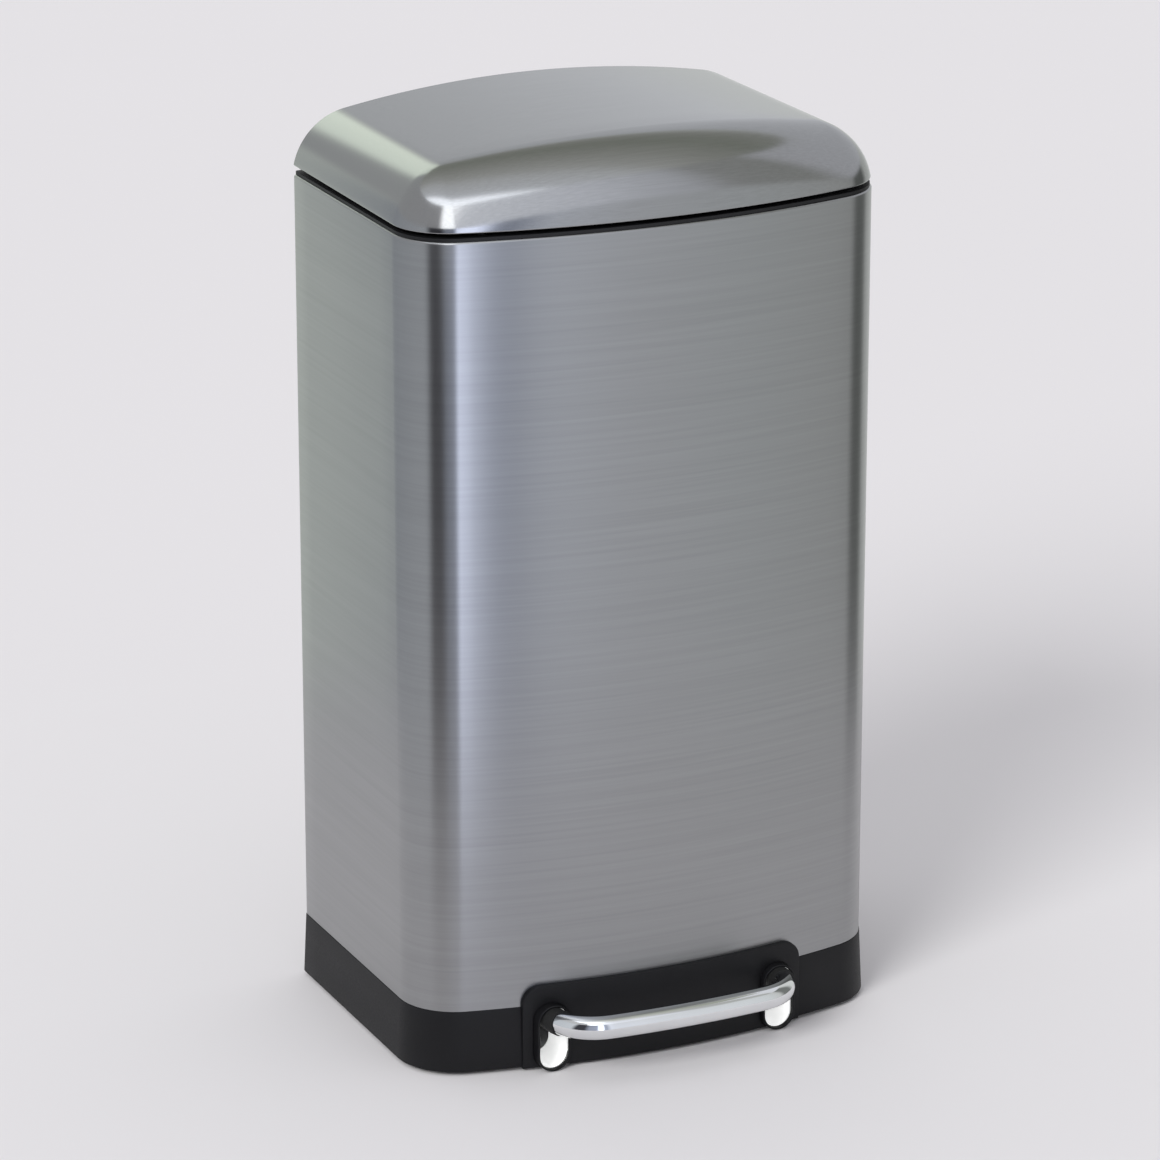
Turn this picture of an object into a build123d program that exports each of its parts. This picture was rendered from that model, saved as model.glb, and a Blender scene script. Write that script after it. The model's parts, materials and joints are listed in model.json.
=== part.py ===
# Step-on waste bin: brushed steel body and domed lid, black base, chrome foot bar.
# Millimetres, +Z up, front towards -Y. Every piece is modelled about the body's own
# centre line and then moved by origin_y, so that the origin is the middle of the
# whole bin's footprint, on the floor.
import os
from math import asin, atan, cos, degrees, radians, sin, sqrt
from build123d import *

# ---- body plan: flat back, straight sides, bowed front ----
body_width = 335.0
body_depth = 222.0
bow_rise = 25.0
front_corner = 40.0
back_corner = 4.0
sheet = 0.7

# ---- heights ----
foot_height = 5.0
skirt_low = 2.5
body_low = 45.0
body_high = 565.0
deck_low = 51.0
deck_high = 54.0
collar_high = 567.2
lid_low = 570.0
crown_high = 619.5

# ---- lid ----
crown_radius = 733.0
crown_tilt = 0.8
lid_shoulder = 45.0
lid_travel = 65.0
liner_low = 575.0
liner_high = 577.5

# ---- lid hinge and crank ----
hinge_y = 121.0
hinge_z = 566.0
hinge_pin_r = 3.0
crank_length = 20.0
crank_rest = 30.0
crank_pin_r = 2.5
ear_inner = 33.0
arm_window = 34.0
cover_back_y = 134.0

# ---- push rod ----
rod_y = 102.6
rod_r = 3.0

# ---- pedal ----
axle_y = -17.0
axle_z = 30.3
axle_r = 4.0
slot_x = 82.5
slot_arm_z = 36.6
bar_reach = 38.0
bar_r = 7.9
bar_wall = 1.5
bar_bend = 30.0
bar_bow = 560.0
lever_length = 120.0
lever_pin_r = 3.0

# ---- front plate and pedal slots ----
plate_half = 101.5
plate_low = 2.0
plate_high = 59.5
plate_corner = 13.0
plate_proud = 4.0
slot_low = 0.4
slot_high = 47.0
bezel_r = 11.75
slot_r = 10.25
liner_r = 11.0

# ---- bucket ----
bucket_low = 54.4
bucket_high = 556.0
bucket_inset = 16.0
bucket_back = 89.5
bucket_wall = 2.0
bucket_taper = 1.0

# ---- fits ----
running = 0.06
snug = 0.03

# ---- worked out from the values above ----
half_width = body_width / 2
back_y = body_depth / 2
bow_radius = (half_width**2 + bow_rise**2) / (2 * bow_rise)
bow_centre = bow_radius - back_y
corner_x = half_width - front_corner
shoulder_z = crown_high - crown_radius + sqrt((crown_radius - lid_shoulder) ** 2 - (half_width - lid_shoulder) ** 2)
plate_face_y = bow_centre - sqrt((bow_radius + plate_proud) ** 2 - slot_x**2)
pedal_rest = degrees(atan((slot_arm_z - axle_z) / (axle_y - plate_face_y)))
bar_distance = axle_y - plate_face_y + bar_reach
rod_travel = crank_length * (sin(radians(crank_rest)) + sin(radians(lid_travel - crank_rest)))
pedal_travel = pedal_rest + degrees(asin(rod_travel / lever_length - sin(radians(pedal_rest))))
crank_pin_y = hinge_y - crank_length * cos(radians(crank_rest))
crank_pin_z = hinge_z - crank_length * sin(radians(crank_rest))
lever_pin_z = axle_z - lever_length * sin(radians(pedal_rest))
pedal_front_y = axle_y - bar_distance * cos(radians(pedal_rest)) - bar_r
origin_y = (pedal_front_y + cover_back_y) / 2


def box(x0, x1, y0, y1, z0, z1):
    return Pos((x0 + x1) / 2, (y0 + y1) / 2, (z0 + z1) / 2) * Box(x1 - x0, y1 - y0, z1 - z0)


def rod_x(radius, x0, x1, y, z):
    return Pos((x0 + x1) / 2, y, z) * Rot(0, 90, 0) * Cylinder(radius, x1 - x0)


def rod_y_axis(radius, x, y0, y1, z):
    return Pos(x, (y0 + y1) / 2, z) * Rot(90, 0, 0) * Cylinder(radius, y1 - y0)


def rod_z(radius, x, y, z0, z1):
    return Pos(x, y, (z0 + z1) / 2) * Cylinder(radius, z1 - z0)


def plan_face(inset):
    """The body's outline from above, moved inwards by inset."""
    half = half_width - inset
    back = back_y - inset
    front = -2 * back_y
    block = Pos(0, (front + back) / 2) * Rectangle(2 * half, back - front)
    face = block & Pos(0, bow_centre) * Circle(bow_radius - inset)
    face = fillet(face.vertices().sort_by(Axis.Y)[:2], front_corner - inset)
    return fillet(face.vertices().sort_by(Axis.Y)[-2:], max(back_corner - inset, 1.0))


def plan_solid(inset, z0, z1):
    return Pos(0, 0, z0) * extrude(plan_face(inset), amount=z1 - z0)


def plan_ring(outer, inner, z0, z1):
    return plan_solid(outer, z0, z1) - plan_solid(inner, z0, z1)


def slot_solid(x, radius, y0, y1):
    """An upright slot through the front, of the pedal slot's outer height less its rim."""
    rim = bezel_r - radius
    low = slot_low + rim + radius
    high = slot_high - rim - radius
    shaft = box(x - radius, x + radius, y0, y1, low, high)
    return shaft + rod_y_axis(radius, x, y0, y1, low) + rod_y_axis(radius, x, y0, y1, high)


def bar_in_plane(points, width, x0, x1):
    """A flat bar, rounded at each corner of its path, standing in the Y-Z plane."""
    pieces = []
    for (ya, za), (yb, zb) in zip(points, points[1:]):
        length = sqrt((yb - ya) ** 2 + (zb - za) ** 2)
        angle = degrees(atan((zb - za) / (yb - ya)))
        leg = Rot(angle, 0, 0) * Box(x1 - x0, length, width)
        pieces.append(Pos((x0 + x1) / 2, (ya + yb) / 2, (za + zb) / 2) * leg)
    for y, z in points:
        pieces.append(rod_x(width / 2, x0, x1, y, z))
    solid = pieces[0]
    for piece in pieces[1:]:
        solid += piece
    return solid


def on_pedal(part):
    """Pedal pieces are drawn with the axle at the origin, then set at the rest angle."""
    return Pos(0, axle_y, axle_z) * Rot(-pedal_rest, 0, 0) * part


# ---------------------------------------------------------------- body

hem = 4.0
back_screw_heights = (90.0, 285.0, 470.0)
housing_screws = [(x, z) for x in (-43.0, 43.0) for z in (510.0, 538.0)]
back_screw_r = 2.0


def body_shell():
    shell = plan_ring(0, sheet, body_low, body_high)
    shell += plan_ring(0, hem, body_high - sheet, body_high)
    shell -= box(-arm_window, arm_window, back_y - 16, back_y - sheet, body_high - 2, body_high + 1)
    for side in (-1, 1):
        shell -= slot_solid(side * slot_x, bezel_r + 0.3, -back_y - 12, -back_y + 20)
    for z in back_screw_heights:
        shell -= rod_y_axis(back_screw_r + 0.1, 0, back_y - 2, back_y + 1, z)
    for x, z in housing_screws:
        shell -= rod_y_axis(back_screw_r + 0.1, x, back_y - 2, back_y + 1, z)
    return shell


def top_collar():
    flange = plan_ring(1.2, 12, body_high + 0.15, collar_high)
    skirt = plan_ring(hem + 0.6, hem + 3, 545, body_high + 0.15)
    inner = plan_ring(9.5, 12, 553, body_high + 0.15)
    ring = flange + skirt + inner + plan_ring(hem + 0.6, 12, 561, body_high + 0.15)
    return ring - box(-arm_window, arm_window, 90, back_y + 1, 540, collar_high + 1)


def lid_buffers():
    pads = []
    for x, y in ((-120, -88), (120, -88), (-145, 107.2), (145, 107.2)):
        pads.append(rod_z(2.6, x, y, collar_high + 0.05, lid_low - 0.3))
    return Compound(pads)


# ---------------------------------------------------------------- base

skirt_wall = 3.0
skirt_flare = 2.7
upstand_inner = 3.6
foot_places = ((-132, -58), (132, -58), (-142, 84), (142, 84))
foot_r = 11.0
foot_stem_r = 4.0
boss_r = 8.0
post_inner = 92.0
post_outer = 98.0
bush_r = 6.0
plate_screws = (-60.0, 0.0, 60.0)
plate_screw_z = 24.0
plate_screw_r = 1.6
foot_notch = 9.0


def bow_y(x, proud):
    """Where the bowed front lies at x, standing proud of the body by the given amount."""
    return bow_centre - sqrt((bow_radius + proud) ** 2 - x**2)


def base_plinth():
    height = body_low - skirt_low
    skirt = Pos(0, 0, body_low) * extrude(plan_face(-0.4), amount=-height, taper=-skirt_flare)
    base = skirt - plan_solid(skirt_wall, 0, body_low + 1)
    base += plan_ring(sheet + 0.4, upstand_inner, body_low - 4, deck_high + 8)
    base -= box(-foot_notch, foot_notch, 100, back_y - 1.2, 8, deck_high + 9)
    for side in (-1, 1):
        base -= slot_solid(side * slot_x, bezel_r + 0.05, -back_y - 12, -70)
    pocket = box(-plate_half - 0.2, plate_half + 0.2, -back_y - 20, -60, 0, plate_high)
    base -= pocket - plan_solid(-0.05, 0, plate_high + 1)
    for x in plate_screws:
        base -= rod_y_axis(plate_screw_r + snug, x, bow_y(x, 1), bow_y(x, -6), plate_screw_z)
    return base


# the deck drops into the plinth's upstand and carries the feet, ribs and axle posts
def base_deck():
    deck = plan_solid(upstand_inner + snug, deck_low, deck_high)
    deck -= box(-20, 20, 92.5, back_y, deck_low - 1, deck_high + 1)
    for side in (-1, 1):
        deck += box(side * 95 - 3, side * 95 + 3, axle_y - 9, axle_y + 9, 20, deck_low + 1)
        deck += box(side * 50 - 1.2, side * 50 + 1.2, -95, 100, 45.5, deck_low + 1)
        deck += box(side * 115 - 1.2, side * 115 + 1.2, -90, 100, 40, deck_low + 1)
    for x, y in foot_places:
        deck += rod_z(boss_r, x, y, foot_height + 0.2, deck_low + 1)
        deck -= rod_z(foot_stem_r + snug, x, y, 0, 17)
    deck -= rod_x(bush_r + snug, -100, 100, axle_y, axle_z)
    return deck


def front_plate():
    outline = box(-plate_half, plate_half, -back_y - 20, -60, plate_low, plate_high)
    corners = outline.edges().filter_by(Axis.Y).filter_by(lambda e: e.center().Z > plate_high - 1)
    outline = fillet(corners, plate_corner)
    plate = outline & plan_ring(-plate_proud, -0.15, 0, plate_high + 1)
    for side in (-1, 1):
        plate -= slot_solid(side * slot_x, bezel_r + 0.05, -back_y - 12, -70)
    for x in plate_screws:
        plate -= rod_y_axis(plate_screw_r + snug, x, bow_y(x, 2.6), bow_y(x, -1), plate_screw_z)
    return plate


def front_plate_screws():
    screws = []
    for x in plate_screws:
        shank = rod_y_axis(plate_screw_r, x, bow_y(x, 2.4), bow_y(x, -3.5), plate_screw_z)
        screws.append(shank + rod_y_axis(3.2, x, bow_y(x, -3.5), bow_y(x, -5.4), plate_screw_z))
    return Compound(screws)


def slot_bezel(side):
    x = side * slot_x
    around = plan_ring(-plate_proud - 4, 1.0, 0, 60)
    ring = slot_solid(x, bezel_r, -back_y - 20, -70) - slot_solid(x, slot_r, -back_y - 20, -70)
    ring = ring & around
    seat = slot_solid(x, liner_r + 0.05, -back_y - 20, -70) & plan_solid(-plate_proud - 2.5, 0, 60)
    return ring - seat


def slot_liner(side):
    x = side * slot_x
    tube = slot_solid(x, liner_r, -back_y - 20, -82) - slot_solid(x, slot_r, -back_y - 20, -82)
    return tube & plan_solid(-plate_proud - 2.4, 0, 60)


def rubber_foot(x, y):
    pad = rod_z(foot_r, x, y, 0, foot_height)
    pad = chamfer(pad.edges().filter_by(GeomType.CIRCLE).sort_by(Axis.Z)[:1], 1.0)
    return pad + rod_z(foot_stem_r, x, y, foot_height, 16)


def pedal_axle():
    return rod_x(axle_r, -102, 102, axle_y, axle_z)


def axle_bushes():
    bushes = []
    for side in (-1, 1):
        mid = side * (post_inner + post_outer) / 2
        bush = rod_x(bush_r, mid - 3.6, mid + 3.6, axle_y, axle_z)
        bushes.append(bush - rod_x(axle_r + snug, mid - 5, mid + 5, axle_y, axle_z))
    return Compound(bushes)


def axle_clips():
    clips = []
    for side in (-1, 1):
        mid = side * 100.0
        clip = rod_x(7.0, mid - 0.6, mid + 0.6, axle_y, axle_z)
        clip -= rod_x(axle_r + snug, mid - 1, mid + 1, axle_y, axle_z)
        clips.append(clip - box(mid - 1, mid + 1, axle_y - 2.6, axle_y + 2.6, axle_z - 8, axle_z))
    return Compound(clips)


# ---------------------------------------------------------------- hinge housing

housing_half = 52.0
housing_low = 498.0
housing_high = 557.0
ear_thick = 5.0
ear_r = 8.0
cover_r = 9.4
cover_wall = 1.2


def hinge_housing():
    block = box(-housing_half, housing_half, back_y + 0.2, 130.5, housing_low, housing_high)
    block -= box(-housing_half + 4, housing_half - 4, back_y + 4, 131, housing_low + 4, housing_high - 4)
    block += box(-30, 30, back_y + 4, 128, 524, 527)
    for side in (-1, 1):
        x0 = min(side * ear_inner, side * (ear_inner + ear_thick))
        block += rod_x(ear_r, x0, x0 + ear_thick, hinge_y, hinge_z)
        block += box(x0, x0 + ear_thick, hinge_y - ear_r, hinge_y + ear_r, 550, hinge_z)
        for z in (510.0, 538.0):
            block += rod_y_axis(5.5, side * 43.0, back_y + 0.2, 126, z)
    for x, z in housing_screws:
        block -= rod_y_axis(back_screw_r + snug, x, back_y, 132, z)
    return block - rod_x(hinge_pin_r + snug, -60, 60, hinge_y, hinge_z)


def hinge_cover():
    half = housing_half + 4
    top = hinge_z
    solid = box(-half, half, back_y + 0.2, cover_back_y, 488, top)
    back = solid.edges().filter_by(Axis.Z).filter_by(lambda e: e.center().Y > 130)
    solid = fillet(back, 6)
    cap = rod_x(cover_r, -half, half, hinge_y, hinge_z) + box(
        -half, half, hinge_y, cover_back_y, 540, top
    )
    rear = box(-half, half, hinge_y + 3, cover_back_y, top - 1, top + 6)
    solid = solid + cap + rear
    inside = box(-half + 1.5, half - 1.5, back_y, cover_back_y - 1.5, 489.5, top - 0.5)
    inside += rod_x(cover_r - cover_wall, -half + 1.5, half - 1.5, hinge_y, hinge_z)
    solid -= inside
    solid -= box(-arm_window + 1.5, arm_window - 1.5, back_y, cover_back_y + 1, hinge_z - 7, 590)
    return solid - box(-half - 1, half + 1, back_y - 5, hinge_y - 7, hinge_z - 1, 590)


def hinge_pin():
    return rod_x(hinge_pin_r, -41, 41, hinge_y, hinge_z)


def hinge_pin_clips():
    clips = []
    for side in (-1, 1):
        mid = side * 39.4
        clip = rod_x(5.6, mid - 0.5, mid + 0.5, hinge_y, hinge_z)
        clips.append(clip - rod_x(hinge_pin_r + snug, mid - 1, mid + 1, hinge_y, hinge_z))
    return Compound(clips)


def hinge_backing_plate():
    plate = box(-50, 50, 108.2, 109.7, 502, 544)
    for x, z in housing_screws:
        plate -= rod_y_axis(back_screw_r + 0.1, x, 105, 112, z)
    return plate


def hinge_screws():
    screws = []
    for x, z in housing_screws:
        head = rod_y_axis(4.0, x, 126.1, 128.4, z)
        socket = Pos(x, 127.9, z) * Rot(90, 0, 0) * extrude(RegularPolygon(1.4, 6), amount=1.3, both=True)
        screws.append(head - socket + rod_y_axis(back_screw_r, x, 104, 126.1, z))
    return Compound(screws)


def hinge_nuts():
    nuts = []
    for x, z in housing_screws:
        nut = Pos(x, 106.5, z) * Rot(90, 0, 0) * extrude(RegularPolygon(4.0, 6), amount=1.6, both=True)
        nuts.append(nut - rod_y_axis(back_screw_r + snug, x, 103, 109, z))
    return Compound(nuts)


# ---------------------------------------------------------------- push rod

channel_half = 12.0
channel_front = 96.0
channel_wall = 1.5
channel_low = 62.0
channel_high = 498.0
foot_pin_play = 0.6
head_half = 4.8
foot_half = 5.3


def rod_cover():
    outer = box(-channel_half, channel_half, channel_front, back_y - 1.0, channel_low, channel_high)
    edges = outer.edges().filter_by(Axis.Z).filter_by(lambda e: e.center().Y < 100)
    outer = fillet(edges, 3)
    inner_half = channel_half - channel_wall
    inner = box(-inner_half, inner_half, channel_front + channel_wall, back_y, 50, 510)
    return outer - inner


def rod_guide(z):
    block = box(-9.8, 9.8, channel_front + channel_wall + 0.2, back_y - 1.0, z - 8, z + 8)
    block -= rod_z(rod_r + running, 0, rod_y, z - 10, z + 10)
    return block - rod_y_axis(back_screw_r + snug, 0, rod_y + 3.8, back_y, z)


def rod_guide_screws():
    screws = []
    for z in back_screw_heights:
        head = rod_y_axis(4.0, 0, back_y + 0.1, back_y + 2.3, z)
        head = fillet(head.edges().sort_by(Axis.Y)[-1:], 1.0)
        head -= Pos(0, back_y + 2.0, z) * Rot(90, 0, 0) * extrude(RegularPolygon(1.3, 6), 1.2, both=True)
        screws.append(head + rod_y_axis(back_screw_r, 0, rod_y + 3.9, back_y + 0.1, z))
    return Compound(screws)


rod_head_low = crank_pin_z - 6.2
rod_foot_high = lever_pin_z + 9.0


def push_rod():
    return rod_z(rod_r, 0, rod_y, rod_foot_high - 4, rod_head_low + 1.5)


def push_rod_head():
    mid_y = hinge_y - crank_length + (1 - cos(radians(lid_travel - crank_rest))) * crank_length / 2
    half_slot = 1.9 + crank_pin_r + 0.5
    block = box(-head_half, head_half, mid_y - 6.7, mid_y + 6.7, rod_head_low, crank_pin_z + 6.0)
    block += rod_z(4.6, 0, rod_y, rod_head_low - 7, rod_head_low + 0.5)
    block -= rod_z(rod_r + snug, 0, rod_y, rod_head_low - 8, rod_head_low + 1.52)
    play = crank_pin_r + 0.8
    straight = half_slot - play
    slot = box(-6, 6, mid_y - straight, mid_y + straight, crank_pin_z - play, crank_pin_z + play)
    slot += rod_x(play, -6, 6, mid_y - straight, crank_pin_z)
    slot += rod_x(play, -6, 6, mid_y + straight, crank_pin_z)
    return block - slot


def push_rod_foot():
    block = box(-foot_half, foot_half, rod_y - 6.6, rod_y + 6.6, lever_pin_z - 7, rod_foot_high)
    block = fillet(block.edges().filter_by(Axis.X), 2)
    block -= rod_z(rod_r + snug, 0, rod_y, rod_foot_high - 4.02, rod_foot_high + 1)
    play = lever_pin_r + foot_pin_play
    slot = box(-6, 6, rod_y - 0.5, rod_y + 0.5, lever_pin_z - play, lever_pin_z + play)
    slot += rod_x(play, -6, 6, rod_y - 0.5, lever_pin_z)
    slot += rod_x(play, -6, 6, rod_y + 0.5, lever_pin_z)
    return block - slot


# ---------------------------------------------------------------- pedal

arm_rear = 14.0
tab_inner = 72.0
tab_outer = 74.5
lever_arm_inner = 6.0
lever_arm_outer = 8.5
rivet_places = (-9.5, 9.5)
rivet_r = 1.6
sleeve_r = 8.6
sleeve_bend = 16.0
sleeve_rear = 68.0


def bar_swing():
    """Half the angle that the bar's gentle bow turns through."""
    return asin((slot_x - bar_bend) / (bar_bow - bar_bend))


def bar_straight_end():
    return -bar_distance + bar_bow * (1 - cos(bar_swing())) + bar_bend * cos(bar_swing())


def bar_path():
    swing = degrees(bar_swing())
    arm = Line((-slot_x, arm_rear), (-slot_x, bar_straight_end()))
    left = JernArc(arm @ 1, arm % 1, bar_bend, 90 - swing)
    bow = JernArc(left @ 1, left % 1, bar_bow, 2 * swing)
    right = JernArc(bow @ 1, bow % 1, bar_bend, 90 - swing)
    back = Line(right @ 1, (slot_x, arm_rear))
    return Wire([arm.edge(), left.edge(), bow.edge(), right.edge(), back.edge()])


def swept_ring(path, outer, inner):
    return sweep(Plane(origin=path @ 0, z_dir=path % 0) * (Circle(outer) - Circle(inner)), path=path)


def pedal_bar():
    tube = swept_ring(bar_path(), bar_r, bar_r - bar_wall)
    tube -= rod_x(axle_r + running, -100, 100, 0, 0)
    for side in (-1, 1):
        for y in rivet_places:
            tube -= rod_x(rivet_r + snug, side * 76.5 - 4, side * 76.5 + 4, y, 0)
    return on_pedal(tube)


def pedal_sleeve(side):
    arm = Line((side * slot_x, -sleeve_rear), (side * slot_x, bar_straight_end()))
    bend = JernArc(arm @ 1, arm % 1, bar_bend, -side * sleeve_bend)
    return on_pedal(swept_ring(Wire([arm.edge(), bend.edge()]), sleeve_r, bar_r + snug))


def pedal_lever():
    lever = box(-tab_outer, tab_outer, -12, 12, 5.5, 8.0)
    for side in (-1, 1):
        tab_mid = side * (tab_inner + tab_outer) / 2
        lever += box(tab_mid - 1.25, tab_mid + 1.25, -13.5, 13.5, -7, 8)
        arm_mid = side * (lever_arm_inner + lever_arm_outer) / 2
        lever += box(arm_mid - 1.25, arm_mid + 1.25, -12, lever_length, -4.5, 4.5)
        lever += box(arm_mid - 1.25, arm_mid + 1.25, -12, 14, -6, 8)
        lever += rod_x(4.5, arm_mid - 1.25, arm_mid + 1.25, lever_length, 0)
        for y in rivet_places:
            lever -= rod_x(rivet_r + snug, tab_mid - 3, tab_mid + 3, y, 0)
    lever += box(-lever_arm_outer, lever_arm_outer, 40, 64, -4.5, -2.0)
    lever -= rod_x(axle_r + running, -80, 80, 0, 0)
    lever -= rod_x(lever_pin_r + snug, -20, 20, lever_length, 0)
    return on_pedal(lever)


def pedal_rivets():
    rivets = []
    for side in (-1, 1):
        for y in rivet_places:
            x0, x1 = sorted((side * (tab_inner - 0.1), side * 77.2))
            h0, h1 = sorted((side * (tab_inner - 1.3), side * (tab_inner - 0.1)))
            rivets.append(rod_x(rivet_r, x0, x1, y, 0) + rod_x(2.8, h0, h1, y, 0))
    return on_pedal(Compound(rivets))


def lever_pin():
    pin = rod_x(lever_pin_r, -9.2, 9.2, lever_length, 0)
    pin += rod_x(4.6, -10.4, -9.2, lever_length, 0)
    return on_pedal(pin)


def lever_pin_clip():
    clip = rod_x(4.8, 8.75, 9.05, lever_length, 0)
    return on_pedal(clip - rod_x(lever_pin_r + snug, 8, 10, lever_length, 0))


# ---------------------------------------------------------------- lid

bracket_low = liner_high + 0.1
bracket_thick = 2.5
bracket_front = 45.0
bracket_rear = 98.0
knuckle_r = 6.0
outer_arm = 30.0
crank_inner = 5.5
lid_screw_places = [(x, y) for x in (-20.0, 20.0) for y in (54.0, 82.0)]


def front_corner_solid(inset):
    """The ball-like front corner of the lid, turned about the plan corner's own centre."""
    low = (0, lid_low - 2)
    offset = lid_shoulder - front_corner
    radius = lid_shoulder - inset
    wide = sqrt(radius**2 - (low[1] - shoulder_z) ** 2) - offset
    top = shoulder_z + sqrt(radius**2 - offset**2)
    mid_z = (low[1] + top) / 2
    mid = (sqrt(radius**2 - (mid_z - shoulder_z) ** 2) - offset, mid_z)
    edges = [Line(low, (wide, low[1])), ThreePointArc((wide, low[1]), mid, (0, top)), Line((0, top), low)]
    return revolve(Plane.XZ * make_face(edges), Axis.Z)


def lid_block(inset):
    """The domed lid as a solid, moved inwards by inset: crown, shoulders and front corners."""
    half = half_width - inset
    back = back_y - inset
    face = Pos(0, (back - 2 * back_y) / 2) * Rectangle(2 * half, back + 2 * back_y)
    face = face & Pos(0, bow_centre) * Circle(bow_radius - inset)
    block = Pos(0, 0, lid_low - 40) * extrude(face, amount=crown_high - lid_low + 60)
    crown = Pos(0, -66, crown_high - crown_radius) * Rot(90 - crown_tilt, 0, 0)
    block = block & crown * Cylinder(crown_radius - inset, 800)
    top = block.edges().filter_by(lambda e: e.center().Z > lid_low + 20 and e.center().Y < back - 1)
    block = fillet(top.filter_by(lambda e: abs(e.tangent_at(0.5).Z) < 0.5), lid_shoulder - inset)
    block = block & plan_solid(inset, lid_low, crown_high + 20)
    centre_y = bow_centre - sqrt((bow_radius - front_corner) ** 2 - corner_x**2)
    lean = asin(corner_x / (bow_radius - front_corner))
    for side in (-1, 1):
        tip = (side * (corner_x + 90 * sin(lean)), centre_y - 90 * cos(lean))
        wedge = Polyline(
            (side * corner_x, centre_y), (side * (corner_x + 90), centre_y),
            (side * (corner_x + 90), centre_y - 90), tip, close=True,
        )
        cutter = Pos(0, 0, lid_low) * extrude(make_face(wedge), amount=crown_high - lid_low + 20)
        block -= cutter - Pos(side * corner_x, centre_y, 0) * front_corner_solid(inset)
    return block


def lid_shell():
    above_hem = box(-200, 200, -200, 200, lid_low + sheet, crown_high + 20)
    shell = lid_block(0) - (lid_block(sheet) & above_hem)
    shell -= plan_solid(hem, lid_low - 1, lid_low + sheet + 1)
    return shell - box(-arm_window, arm_window, back_y - 14, back_y + 1, lid_low - 1, 578)


def lid_liner():
    gap = sheet + 0.3
    pan = plan_solid(gap, liner_low, liner_high)
    pan += plan_ring(gap, 8, lid_low + sheet + 0.2, liner_high)
    pan -= box(-arm_window, arm_window, 88, back_y + 1, lid_low, liner_high + 1)
    for x, y in lid_screw_places:
        pan -= rod_z(back_screw_r + snug, x, y, liner_low - 1, liner_high + 1)
    return pan & lid_block(gap)


def lid_bracket():
    high = bracket_low + bracket_thick
    mid = (bracket_low + high) / 2
    bracket = box(-outer_arm, outer_arm, bracket_front, bracket_rear, bracket_low, high)
    for side in (-1, 1):
        x0, x1 = sorted((side * (outer_arm - 2.5), side * outer_arm))
        bracket += bar_in_plane([(bracket_rear - 4, mid + 2.2), (hinge_y, hinge_z)], 7.0, x0, x1)
        bracket += rod_x(knuckle_r, x0, x1, hinge_y, hinge_z)
        c0, c1 = sorted((side * crank_inner, side * (crank_inner + 2.5)))
        reach = [(crank_pin_y, crank_pin_z), (crank_pin_y + 0.6, 574.5), (hinge_y, hinge_z)]
        bracket += bar_in_plane(reach, 7.0, c0, c1)
        bracket += bar_in_plane([(bracket_rear - 4, mid + 2.2), (crank_pin_y + 2, 575.5)], 6.0, c0, c1)
        bracket += rod_x(5.0, c0, c1, crank_pin_y, crank_pin_z)
        bracket += rod_x(knuckle_r, c0, c1, hinge_y, hinge_z)
    bracket -= rod_x(hinge_pin_r + running, -40, 40, hinge_y, hinge_z)
    bracket -= rod_x(crank_pin_r + snug, -20, 20, crank_pin_y, crank_pin_z)
    for x, y in lid_screw_places:
        bracket -= rod_z(back_screw_r + snug, x, y, bracket_low - 1, high + 1)
    return bracket


def lid_screws():
    screws = []
    for x, y in lid_screw_places:
        head = rod_z(4.0, x, y, liner_low - 2.2, liner_low - 0.05)
        head = fillet(head.edges().filter_by(GeomType.CIRCLE).sort_by(Axis.Z)[:1], 0.8)
        head -= Pos(x, y, liner_low - 2.0) * extrude(RegularPolygon(1.4, 6), amount=1.1, both=True)
        screws.append(head + rod_z(back_screw_r, x, y, liner_low - 0.05, bracket_low + bracket_thick + 1))
    return Compound(screws)


def crank_pin():
    pin = rod_x(crank_pin_r, -9.4, 9.4, crank_pin_y, crank_pin_z)
    return pin + rod_x(3.8, 8.1, 9.4, crank_pin_y, crank_pin_z)


# ---------------------------------------------------------------- bucket

rim_out = 3.0
grip_z = 522.0


def bucket_face(inset):
    face = plan_face(bucket_inset + inset)
    face = face & Pos(0, bucket_back - inset - 200) * Rectangle(400, 400)
    return fillet(face.vertices().sort_by(Axis.Y)[-2:], max(16.0 - inset, 4.0))


def bucket_tub(inset, low):
    return Pos(0, 0, bucket_high) * extrude(bucket_face(inset), low - bucket_high, taper=bucket_taper)


def inner_bucket():
    tub = bucket_tub(0, bucket_low) - bucket_tub(bucket_wall, bucket_low + 2.5)
    rim = extrude(bucket_face(-rim_out), amount=-2.5) - extrude(bucket_face(0.5), amount=-2.5)
    lip = extrude(bucket_face(-rim_out), amount=-9) - extrude(bucket_face(-rim_out + 1.5), amount=-9)
    tub += Pos(0, 0, bucket_high) * (rim + lip)
    for side in (-1, 1):
        hole = Pos(side * 150, -5, grip_z) * Rot(0, 90, 0) * extrude(SlotOverall(95, 26, 90), 20, both=True)
        tub -= hole
    return tub


# ---------------------------------------------------------------- write

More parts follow.
